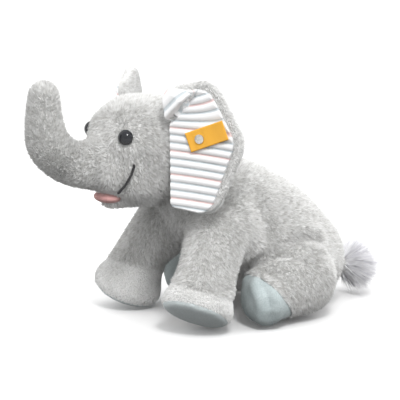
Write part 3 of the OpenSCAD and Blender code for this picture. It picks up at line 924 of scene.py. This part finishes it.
def fold_height(xz, folded):
    """How far the cloth stands forward at a point of the ear: the folded corner and the cup."""
    beside, fade = fold_share(xz)
    step = np.clip((beside + 0.3) / 1.2, 0, 1)
    step = step * step * (3 - 2 * step)
    roll = step * (7.5 - 0.05 * (beside - 4) ** 2) - 2.6 * np.exp(-(((beside + 1.0) / 1.3) ** 2))
    cup = 2.6 * ((xz[:, 0] - 22) / 26) ** 2 + 1.2 * ((xz[:, 1] - 42) / 44) ** 2
    return folded * fade * roll + cup - 1.2


def ear_points(xz, y, folded):
    """Ear points x, z with a depth y (forward is negative) in their place on the head."""
    beside, fade = fold_share(xz)
    spread = folded * fade * FOLD_SPREAD * np.clip(beside / 8, 0, 1)
    flat = xz + spread[:, None] * FOLD_SIDE
    local = np.stack([flat[:, 0], y - fold_height(xz, folded), flat[:, 1]], 1)
    return local @ np.array(ear_matrix if folded else swept_matrix).T + ear_root


def ringed(name, rows, side):
    """A closed skin through rings of points, with a middle point at each end."""
    count = len(rows[0])
    points, faces = [rows[0].mean(0)], []
    for row in rows:
        points.extend(row)
    points.append(rows[-1].mean(0))
    for k in range(count):
        after = (k + 1) % count
        faces.append((0, 1 + after, 1 + k))
        for r in range(len(rows) - 1):
            a, b = 1 + r * count, 1 + (r + 1) * count
            faces.append((a + k, a + after, b + after, b + k))
        last = 1 + (len(rows) - 1) * count
        faces.append((last + k, last + after, len(points) - 1))
    piece = make_mesh(name, np.array(points) * (side, 1, 1), faces)
    recalculate(piece)
    return piece


# %% Plush backs of the ears
def ear_back(name, side, folded):
    line = outline(EAR_CIRCLES, 180) - EAR_MIDDLE
    rows = []
    shares = np.linspace(0.06, 0.86, 44)
    for share in shares:
        rows.append((share, -0.4 if share < 0.8 else -2.2))
    for angle in np.linspace(-75, 75, 9):
        turn = math.radians(angle)
        rows.append((0.93 + 0.055 * math.cos(turn), (EAR_HALF - 0.6) * math.sin(turn)))
    for share in shares[::-1]:
        rows.append((share, EAR_HALF - 0.6))
    rings = [ear_points(EAR_MIDDLE + line * share, np.full(len(line), y), folded) for share, y in rows]
    return ringed(name, rings, side)


ear_backs = {"left": ear_back("ear_shell_left", 1, 1.0), "right": ear_back("ear_shell_right", -1, 0.0)}
ear_piles = {}
for tag, side in SIDES:
    cloth = ear_backs[tag].data.copy()
    inverse = np.array(ear_matrix if side > 0 else swept_matrix)

    def plush_side(points):
        local = (points * (side, 1, 1) - ear_root) @ inverse
        xz = local[:, [0, 2]]
        beside, fade = fold_share(xz)
        amount = 1.0 if side > 0 else 0.0
        xz = xz - (amount * fade * FOLD_SPREAD * np.clip(beside / 12, 0, 1))[:, None] * FOLD_SIDE
        behind = local[:, 1] + fold_height(xz, amount)
        rim = np.clip((xz[:, 0] - 6) / 3, 0, 1) * np.clip((xz[:, 1] - 10) / 6, 0, 1)
        front = np.clip((behind + 3.2) / 1.0, 0, 1)
        return np.where(behind > 0.3, 1.0, front * rim * 0.9)

    groom(cloth, lambda p: np.tile((0.5 * side, 0.6, -0.5), (len(p), 1)), plush_side,
          lambda p: np.full(len(p), 0.62), lambda p: np.full(len(p), 0.1))
    ear_piles[tag] = raise_pile(f"ear_pile_{tag}", cloth, 70 + side, lean=1.1, ruffle=1.0)

# %% Ribbed linings
RIB = 5.15


def rib_height(xz, folded):
    """Distance across the ribs, which run a little downhill and curve up under the fold."""
    x, z = xz[:, 0], xz[:, 1]
    lift = np.clip((z - 52) / 25, 0, 1)
    plain = z + 0.10 * x - lift * (0.30 * (x - 14) + 0.008 * (x - 14) ** 2)
    beside, fade = fold_share(xz)
    over = folded * np.clip(beside / 1.2 + 0.5, 0, 1) * np.clip(fade * 2, 0, 1)
    return plain * (1 - over) + (63.6 + beside) * over


def lining(name, side, folded):
    line = outline(LINING_CIRCLES, 260) - EAR_MIDDLE
    shares = np.concatenate([np.linspace(0.02, 0.985, 72), [0.997, 1.0]])
    rows = []
    for share in shares:
        xz = EAR_MIDDLE + line * share
        across = rib_height(xz, folded) / RIB
        bulge = np.abs(np.sin(math.pi * across)) ** 0.7
        tuck = np.clip((1.0 - share) / 0.03, 0, 1) ** 0.5
        rows.append((xz, -EAR_HALF + 0.9 - (1.35 * bulge + 0.5) * tuck + 0.6 * (1 - tuck)))
    for share in shares[::-12]:
        xz = EAR_MIDDLE + line * share * 0.99
        rows.append((xz, np.full(len(xz), -EAR_HALF + 2.0)))
    marks = np.vstack([[xz.mean(0) for xz, _ in rows[:1]], *[xz for xz, _ in rows],
                       [rows[-1][0].mean(0)]])
    piece = ringed(name, [ear_points(xz, y, folded) for xz, y in rows], side)
    write_chart(piece.data, "ribs", np.stack([marks[:, 0], rib_height(marks, folded)], 1) / RIB)
    return piece


def mixed_colour(tree, share, a, b):
    node = tree.nodes.new("ShaderNodeMix")
    node.data_type = "RGBA"
    return wire(node, {"Factor": share, "A": a, "B": b}).outputs["Result"]


def write_chart(mesh, name, spots):
    """Stores a flat place for each point of a mesh as a UV map."""
    chart = mesh.uv_layers.new(name=name)
    corners = np.empty(len(mesh.loops), np.int32)
    mesh.loops.foreach_get("vertex_index", corners)
    chart.data.foreach_set("uv", spots[corners].astype(np.float32).ravel())


def striped_cord():
    """White ribbed cloth with a coral stripe and two grey-blue ones in turn, one in each valley."""
    material = new_material("ribbed ear cloth", (0.84, 0.84, 0.84), 0.9, 0.1)
    tree = material.node_tree
    new = tree.nodes.new

    def step(kind, *values):
        return math_node(tree, kind, *values)

    chart = new("ShaderNodeUVMap")
    chart.uv_map = "ribs"
    across = wire(new("ShaderNodeSeparateXYZ"), {0: chart.outputs["UV"]}).outputs["Y"]
    near = step("ABSOLUTE", step("SUBTRACT", step("FRACT", step("ADD", across, 0.5)), 0.5))
    place = new("ShaderNodeTexCoord").outputs["Object"]
    thread = wire(new("ShaderNodeTexNoise"), {"Vector": place, "Scale": 1 / (0.9 * MM)}).outputs["Fac"]
    width = step("MULTIPLY_ADD", thread, 0.06, 0.06)
    stripe = wire(new("ShaderNodeMapRange"), {"Value": near, "From Min": width, "To Min": 1,
                                              "From Max": step("ADD", width, 0.10), "To Max": 0})
    order = step("FLOORED_MODULO", step("FLOOR", step("ADD", across, 0.5)), 3)
    coral = step("LESS_THAN", step("ABSOLUTE", step("SUBTRACT", order, 2)), 0.5)
    tint = mixed_colour(tree, coral, (0.40, 0.475, 0.51, 1), (0.66, 0.40, 0.38, 1))
    share = step("MULTIPLY", stripe.outputs["Result"], 0.6)
    paint = mixed_colour(tree, share, (0.84, 0.84, 0.845, 1), tint)
    lift = wire(new("ShaderNodeBump"), {"Strength": 0.35, "Distance": 0.3 * MM, "Height": thread})
    wire(tree.nodes["Principled BSDF"], {"Base Color": paint, "Normal": lift.outputs["Normal"]})
    return material


ribbed = striped_cord()
linings = {"left": lining("ear_lining_cloth_left", 1, 1.0),
           "right": lining("ear_lining_cloth_right", -1, 0.0)}
for piece in linings.values():
    piece.data.materials.append(ribbed)
    print(piece.name, len(piece.data.polygons), "faces")

# %% [markdown]
# ## Ribbon and snap
# A blank woven ribbon is held on the near ear by a plain snap. The snap's cap and base are
# turned metal and keep their engineered shape. The ribbon is a thin woven strip that curls
# away from the ear at its free end.

# %% Ribbon
SNAP = np.array([19.6, 49.6])
RIBBON_LENGTH, RIBBON_WIDTH, RIBBON_THICK = 28.0, 13.0, 0.7


def ribbon_grid(depth):
    turn = math.radians(20)
    along, over = np.meshgrid(np.linspace(-0.3, 0.7, 41) * RIBBON_LENGTH,
                              np.linspace(-0.5, 0.5, 15) * RIBBON_WIDTH, indexing="ij")
    x = SNAP[0] + along * math.cos(turn) - over * math.sin(turn)
    z = SNAP[1] + along * math.sin(turn) + over * math.cos(turn)
    wave = 0.15 * np.sin(along * 0.45) * (np.abs(along) > 4)
    y = -3.5 - depth - 0.0034 * along**2 - wave - 0.004 * over**2
    local = np.stack([x, y, z], -1).reshape(-1, 3)
    return local @ np.array(ear_matrix).T + ear_root


front_side, rear_side = ribbon_grid(RIBBON_THICK), ribbon_grid(0)
rows, columns, faces = 41, 15, []
for i in range(rows - 1):
    for j in range(columns - 1):
        a = i * columns + j
        quad = (a, a + 1, a + columns + 1, a + columns)
        faces += [quad, tuple(v + rows * columns for v in reversed(quad))]
rim = [i * columns for i in range(rows)] + [(rows - 1) * columns + j for j in range(1, columns)]
rim += [i * columns + columns - 1 for i in range(rows - 2, -1, -1)] + list(range(columns - 2, 0, -1))
for a, b in zip(rim, rim[1:] + rim[:1]):
    faces.append((a, b, b + rows * columns, a + rows * columns))
ribbon = make_mesh("ribbon_blank", np.vstack([front_side, rear_side]), faces)
recalculate(ribbon)
flat = np.stack(np.meshgrid(np.linspace(0, RIBBON_LENGTH, rows), np.linspace(0, RIBBON_WIDTH, columns),
                            indexing="ij"), -1).reshape(-1, 2)
write_chart(ribbon.data, "weave", np.vstack([flat, flat]))
print("ribbon", len(ribbon.data.polygons), "faces")


# %% Woven ribbon finish
def woven_ribbon():
    material = new_material("apricot woven ribbon", (0.86, 0.48, 0.10), 0.55, 0.3)
    tree = material.node_tree
    new = tree.nodes.new
    chart = new("ShaderNodeUVMap")
    chart.uv_map = "weave"
    weft, warp = new("ShaderNodeTexWave"), new("ShaderNodeTexWave")
    warp.bands_direction = "Y"
    for wave in (weft, warp):
        wire(wave, {"Scale": 0.5, "Distortion": 0.4, "Vector": chart.outputs["UV"]})
    cross = math_node(tree, "MULTIPLY", weft.outputs["Fac"], warp.outputs["Fac"])
    mix = mixed_colour(tree, cross, (0.80, 0.38, 0.03, 1), (0.92, 0.54, 0.08, 1))
    lift = wire(new("ShaderNodeBump"), {"Strength": 0.3, "Distance": 0.2 * MM, "Height": cross})
    wire(tree.nodes["Principled BSDF"], {"Base Color": mix, "Normal": lift.outputs["Normal"]})
    return material


ribbon.data.materials.append(woven_ribbon())

# %% [markdown]
# ## Stitches
# The smile is a line of thick black embroidery, one short stitch after another. A second node
# tree lays stitches of a given length and width along any path.


# %% Node tree for stitches
def stitch_tree():
    tree, given, made = new_tree("Stitches along a path", "Path", (
        ("Stitches", "Int"), ("Length", "Float"), ("Width", "Float"), ("Twist", "Float"),
        ("Thread", "Material")), "Seam")
    new = tree.nodes.new
    even = wire(new("GeometryNodeResampleCurve"), {"Curve": given["Path"], "Count": given["Stitches"]})
    ball = wire(new("GeometryNodeMeshUVSphere"), {"Segments": 8, "Rings": 6, "Radius": 0.5})
    lowest, highest = (vector_node(tree, "SCALE", (s, s, s), given["Twist"]) for s in (-1, 1))
    sway = random_node(tree, "FLOAT_VECTOR", {0: lowest, 1: highest, "Seed": 4})
    way = vector_node(tree, "ADD", new("GeometryNodeInputTangent").outputs[0], sway.outputs[0])
    shape = wire(new("ShaderNodeCombineXYZ"), {0: given["Width"], 1: given["Width"], 2: given["Length"]})
    place = wire(new("GeometryNodeInstanceOnPoints"), {
        "Points": even.outputs[0], "Instance": ball.outputs["Mesh"], "Rotation": along_z(tree, way),
        "Scale": shape.outputs[0]})
    realize = wire(new("GeometryNodeRealizeInstances"), {0: place.outputs[0]})
    smooth = wire(new("GeometryNodeSetShadeSmooth"), {0: realize.outputs[0]})
    paint = wire(new("GeometryNodeSetMaterial"), {"Geometry": smooth.outputs[0],
                                                  "Material": given["Thread"]})
    wire(made, {"Seam": paint.outputs[0]})
    return tree


STITCHES = stitch_tree()


def stitched(name, path, count, length, width, thread, twist):
    """Stitches along a path in mm, as a mesh."""
    curve = bpy.data.curves.new(name, "CURVE")
    curve.dimensions = "3D"
    line = curve.splines.new("POLY")
    line.points.add(len(path) - 1)
    for point, at in zip(line.points, path):
        point.co = (*(np.array(at) * MM), 1)
    piece = add_object(name, curve)
    mesh = grow_on(piece, STITCHES, {"Stitches": count, "Length": length * MM, "Width": width * MM,
                                     "Twist": twist, "Thread": thread})
    bpy.data.objects.remove(piece)
    print(name, len(mesh.polygons), "faces")
    return add_object(name, mesh)


# %% The stitched smile
black_thread = grained("black thread", (0.008, 0.008, 0.009), (0.03, 0.03, 0.032), 0.5, 0.5, 0.6, 0.2)


def on_surface(path, form, height):
    """Moves points to a height above a form, along the way that the form grows."""
    points = np.array(path, float)
    for _ in range(6):
        slope = np.stack([(form(points + e) - form(points - e)) / 0.4
                          for e in np.eye(3) * 0.2], 1)
        slope /= np.linalg.norm(slope, axis=1)[:, None]
        points -= slope * (form(points) - height)[:, None]
    return points


smile_path = on_surface([b[:3] for b in through([(*p, 0) for p in SMILE], 4)], core_form, 0.1)
smiles = {tag: stitched(f"smile_thread_{tag}", smile_path * (side, 1, 1), 13, 3.0, 2.0, black_thread, 0.3)
          for tag, side in SIDES}

# %% [markdown]
# ## Mouth and tuft
# The mouth shows as a small pink velour pad between the trunk and the lower lip. The tail ends
# in a long soft tuft: a small core that grows much longer fibres, combed back and down.


# %% Mouth pad
def mouth_form(points):
    return (np.linalg.norm((points - MOUTH) / MOUTH_SIZE, axis=1) - 1) * 4


mouth = cloth_from("mouth_pad", mouth_form, MOUTH - MOUTH_SIZE, MOUTH + MOUTH_SIZE, 1.2, 0)
mouth.data.materials.append(mouth_cloth)

# %% Tail tuft
tuft_balls = through([(*tail_end, 7), (0, tail_end[1] + 7, tail_end[2] + 0.5, 8.5),
                      (0, tail_end[1] + 14, tail_end[2] - 2, 4.5)], 4)
tuft_core = cloth_from("tuft_core", lambda p: padded_run(p, tuft_balls), (-12, 38, 8), (12, 76, 36),
                       1.6, 0.5)
tuft_core.data.materials.append(tuft_mid)
tuft_cloth = tuft_core.data.copy()
groom(tuft_cloth, lambda p: np.stack([p[:, 0] * 0.02, np.full(len(p), 1.0), np.full(len(p), -0.35)], 1),
      lambda p: np.clip((p[:, 1] - tail_end[1] + 4) / 3, 0, 1),
      lambda p: np.clip(1.25 - (p[:, 1] - tail_end[1]) / 30, 0.6, 1.2))
tuft = raise_pile("tail_tuft_fibres", tuft_cloth, 5, density=3.4, length=15, width=0.36, lean=1.3,
                  ruffle=1.3, patch=5, shades=(tuft_light, tuft_mid, tuft_deep))

# %% [markdown]
# ## Filling inside the covers
# At rest nothing of the filling shows, but the model is built as the toy is, so each cover
# holds its own lump of fibre, a little uneven and clear of the cloth.


# %% Fibre filling
def lump(name, form, low, high, inset=6.5, cell=5.0):
    piece = cloth_from(name, form, low, high, cell, inset)
    points = points_of(piece)
    uneven = 0.5 * np.sin(points[:, 0] / 3.1) * np.sin(points[:, 1] / 3.7) * np.sin(points[:, 2] / 2.9)
    move_points(piece, points + normals_of(piece) * uneven[:, None])
    piece.data.materials.append(filling)
    return piece


DEEP_INSET, FRONT_INSET = 11.5, 7.5
lumps = {
    "torso_stuffing": lump("torso_filling", lambda p: np.maximum(core_form(p), side_of(neck_cut, p)),
                           (-52, -110, 0), (52, 42, 110), inset=DEEP_INSET),
    "head_stuffing": lump("head_filling", lambda p: np.maximum(
        core_form(p), np.maximum(-side_of(neck_cut, p) - 6, side_of(face_cut, p))),
        (-50, -152, 60), (50, -60, 162)),
    "trunk_stuffing": lump("trunk_filling", lambda p: np.maximum(core_form(p), -side_of(face_cut, p)),
                           (-22, -204, 80), (22, -140, 172), cell=3.5),
    "tail_stuffing": lump("tail_filling", tail_form, *TAIL_BOX, 4.5, 2.0),
}
for tag, sign in SIDES:
    for limb, form, (low, high) in (("front", front_form, FRONT_BOX), ("hind", hind_form, HIND_BOX)):
        low, high = np.array(low), np.array(high)
        if sign < 0:
            form, low, high = mirrored(form), (-high[0], low[1], low[2]), (-low[0], high[1], high[2])
        lumps[f"{limb}_leg_stuffing_{tag}"] = lump(
            f"{limb}_leg_filling_{tag}", form, low, high, FRONT_INSET if limb == "front" else DEEP_INSET)
        if sign < 0 and limb == "front":
            swing_out(lumps["front_leg_stuffing_right"])
    line = outline(EAR_CIRCLES, 90) - EAR_MIDDLE
    steps = np.linspace(0.05, 0.8, 16)
    rows = [*[(t, -1.0) for t in steps], (0.87, 0), *[(t, 1.5) for t in steps[::-1]]]
    wadding = ringed(f"ear_filling_{tag}", [
        ear_points(EAR_MIDDLE + line * share, np.full(90, y), 1.0 if sign > 0 else 0.0)
        for share, y in rows], sign)
    wadding.data.materials.append(filling)
    lumps[f"ear_wadding_{tag}"] = wadding
print(len(lumps), "lumps of filling")

# %% [markdown]
# ## Hard pieces
# The eyes are domes of dark glossy resin on a stem, held by washers behind the cloth. The
# snap is plated metal. They keep their engineered shape and get a finish.

# %% Resin, plastic and metal
resin = grained("dark eye resin", (0.002, 0.002, 0.003), (0.012, 0.014, 0.02), 1.1, 0.0, 0.12, 0.0)
resin.node_tree.nodes["Principled BSDF"].inputs["Specular IOR Level"].default_value = 0.4
washer_plastic = grained("moulded washer", (0.75, 0.75, 0.73), (0.85, 0.85, 0.83), 1.5, 0.1, 0.4, 0.0)
nickel = grained("plated snap", (0.36, 0.35, 0.33), (0.52, 0.51, 0.48), 0.8, 0.15, 0.3, 0.0)
nickel.node_tree.nodes["Principled BSDF"].inputs["Metallic"].default_value = 1.0
for node, finish, slot in (("eye_left", resin, "eye_gloss"), ("eye_right", resin, "eye_gloss"),
                           ("eye_washer_left", washer_plastic, "washer_plastic"),
                           ("eye_washer_right", washer_plastic, "washer_plastic"),
                           ("label_snap_cap", nickel, "snap_nickel"),
                           ("label_snap_base", nickel, "snap_nickel")):
    item = frame["nodes"][node]
    item.data.materials.clear()
    item.data.materials.append(finish)
print("hard pieces finished")

# %% [markdown]
# ## Riding on the frame
# Every piece now joins the body that carries it. Covers that cross the neck or the root of
# the trunk bend between two bodies, and so does the pile on them.


# %% Join the pieces to their bodies
def join_body(piece, node, body, replaces=True):
    if body == "head" and node.startswith(("head_panel", "jaw_panel")):
        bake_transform(piece, "torso", "head", start=NECK_START * MM, end=NECK_END * MM)
    elif body == "trunk" and node.startswith("trunk_panel"):
        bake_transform(piece, "head", "trunk", start=FACE_START * MM, end=FACE_END * MM)
    else:
        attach(piece, body)
    if replaces:
        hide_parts(node)


body_of_node = {n: body for body, nodes in frame["record"]["behaviour"]["bodies"].items() for n in nodes}
for node, cover in covers.items():
    smooth = "sole" in node
    # Hind soles take the darker velour, whose darkness is painted shade.
    finish = shaded_sole_velour if node.startswith("hind") else sole_cloth
    cover.data.materials.append(finish if smooth else backing)
    join_body(cover, node, body_of_node[node])
for node, piece in piles.items():
    join_body(piece, node, body_of_node[node], replaces=False)
for node, piece in lumps.items():
    join_body(piece, node, body_of_node[node])
for tag in ("left", "right"):
    ear = f"ear_{tag}"
    ear_backs[tag].data.materials.append(backing)
    join_body(ear_backs[tag], f"ear_back_{tag}", ear)
    join_body(ear_piles[tag], f"ear_back_{tag}", ear, replaces=False)
    join_body(linings[tag], f"ear_lining_{tag}", ear)
    join_body(smiles[tag], f"smile_stitch_{tag}", "head")
join_body(mouth, "mouth_lining", "head")
join_body(ribbon, "label_ribbon", "ear_left")
join_body(tuft, "tail_tuft", "tail")
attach(tuft_core, "tail")

# %% [markdown]
# The table is flat and white, and throws no light back on the toy. The sky is bright above the
# horizon and dim below it, so that the underside falls off softly. A weak large light fills the
# near side, and a small one puts a bright point on the eye.

# %% Table and sky
table = make_mesh("table", [(-6000, -6000, 0), (6000, -6000, 0), (6000, 6000, 0), (-6000, 6000, 0)],
                  [(0, 1, 2, 3)])
paper = new_material("white paper", (0.93, 0.93, 0.93), 0.9)
table.data.materials.append(paper)
table.visible_diffuse = False
table.visible_shadow = False

world = bpy.data.worlds.new("studio")
bpy.context.scene.world = world
world.use_nodes = True
sky = world.node_tree.nodes["Background"]
way = world.node_tree.nodes.new("ShaderNodeTexCoord")
height = wire(world.node_tree.nodes.new("ShaderNodeSeparateXYZ"), {0: way.outputs["Generated"]})
shade = wire(world.node_tree.nodes.new("ShaderNodeMapRange"), {
    "Value": height.outputs["Z"], "From Min": -0.2, "From Max": -0.02, "To Min": 0.04, "To Max": 1.0})
wire(sky, {"Strength": 1.35, "Color": shade.outputs["Result"]})


def soft_light(name, at, size, watts, aim=(0, -60, 70)):
    lamp = bpy.data.lights.new(name, "AREA")
    lamp.shape = "DISK"
    lamp.size = size
    lamp.energy = watts
    item = add_object(name, lamp)
    item.location = Vector(at)
    item.rotation_mode = "QUATERNION"
    item.rotation_quaternion = (Vector(aim) * MM - Vector(at)).to_track_quat("-Z", "Y")


soft_light("from the right", (0.9, 0.9, 0.7), 0.5, 1)
soft_light("catch light", (0.85, -0.35, 1.0), 0.28, 8)

# %% Camera
bpy.context.scene.view_settings.view_transform = "Standard"
lens = bpy.data.cameras.new("camera")
lens.lens = 158.8
camera = add_object("camera", lens)
AZIMUTH, ELEVATION, REACH = math.radians(60), math.radians(10), 1.2
target = Vector((0, -0.07, 0.08))
back = Vector((math.sin(AZIMUTH) * math.cos(ELEVATION), -math.cos(AZIMUTH) * math.cos(ELEVATION),
               math.sin(ELEVATION)))
camera.location = target + back * REACH
camera.rotation_mode = "QUATERNION"
camera.rotation_quaternion = (-back).to_track_quat("-Z", "Y")
bpy.context.scene.camera = camera
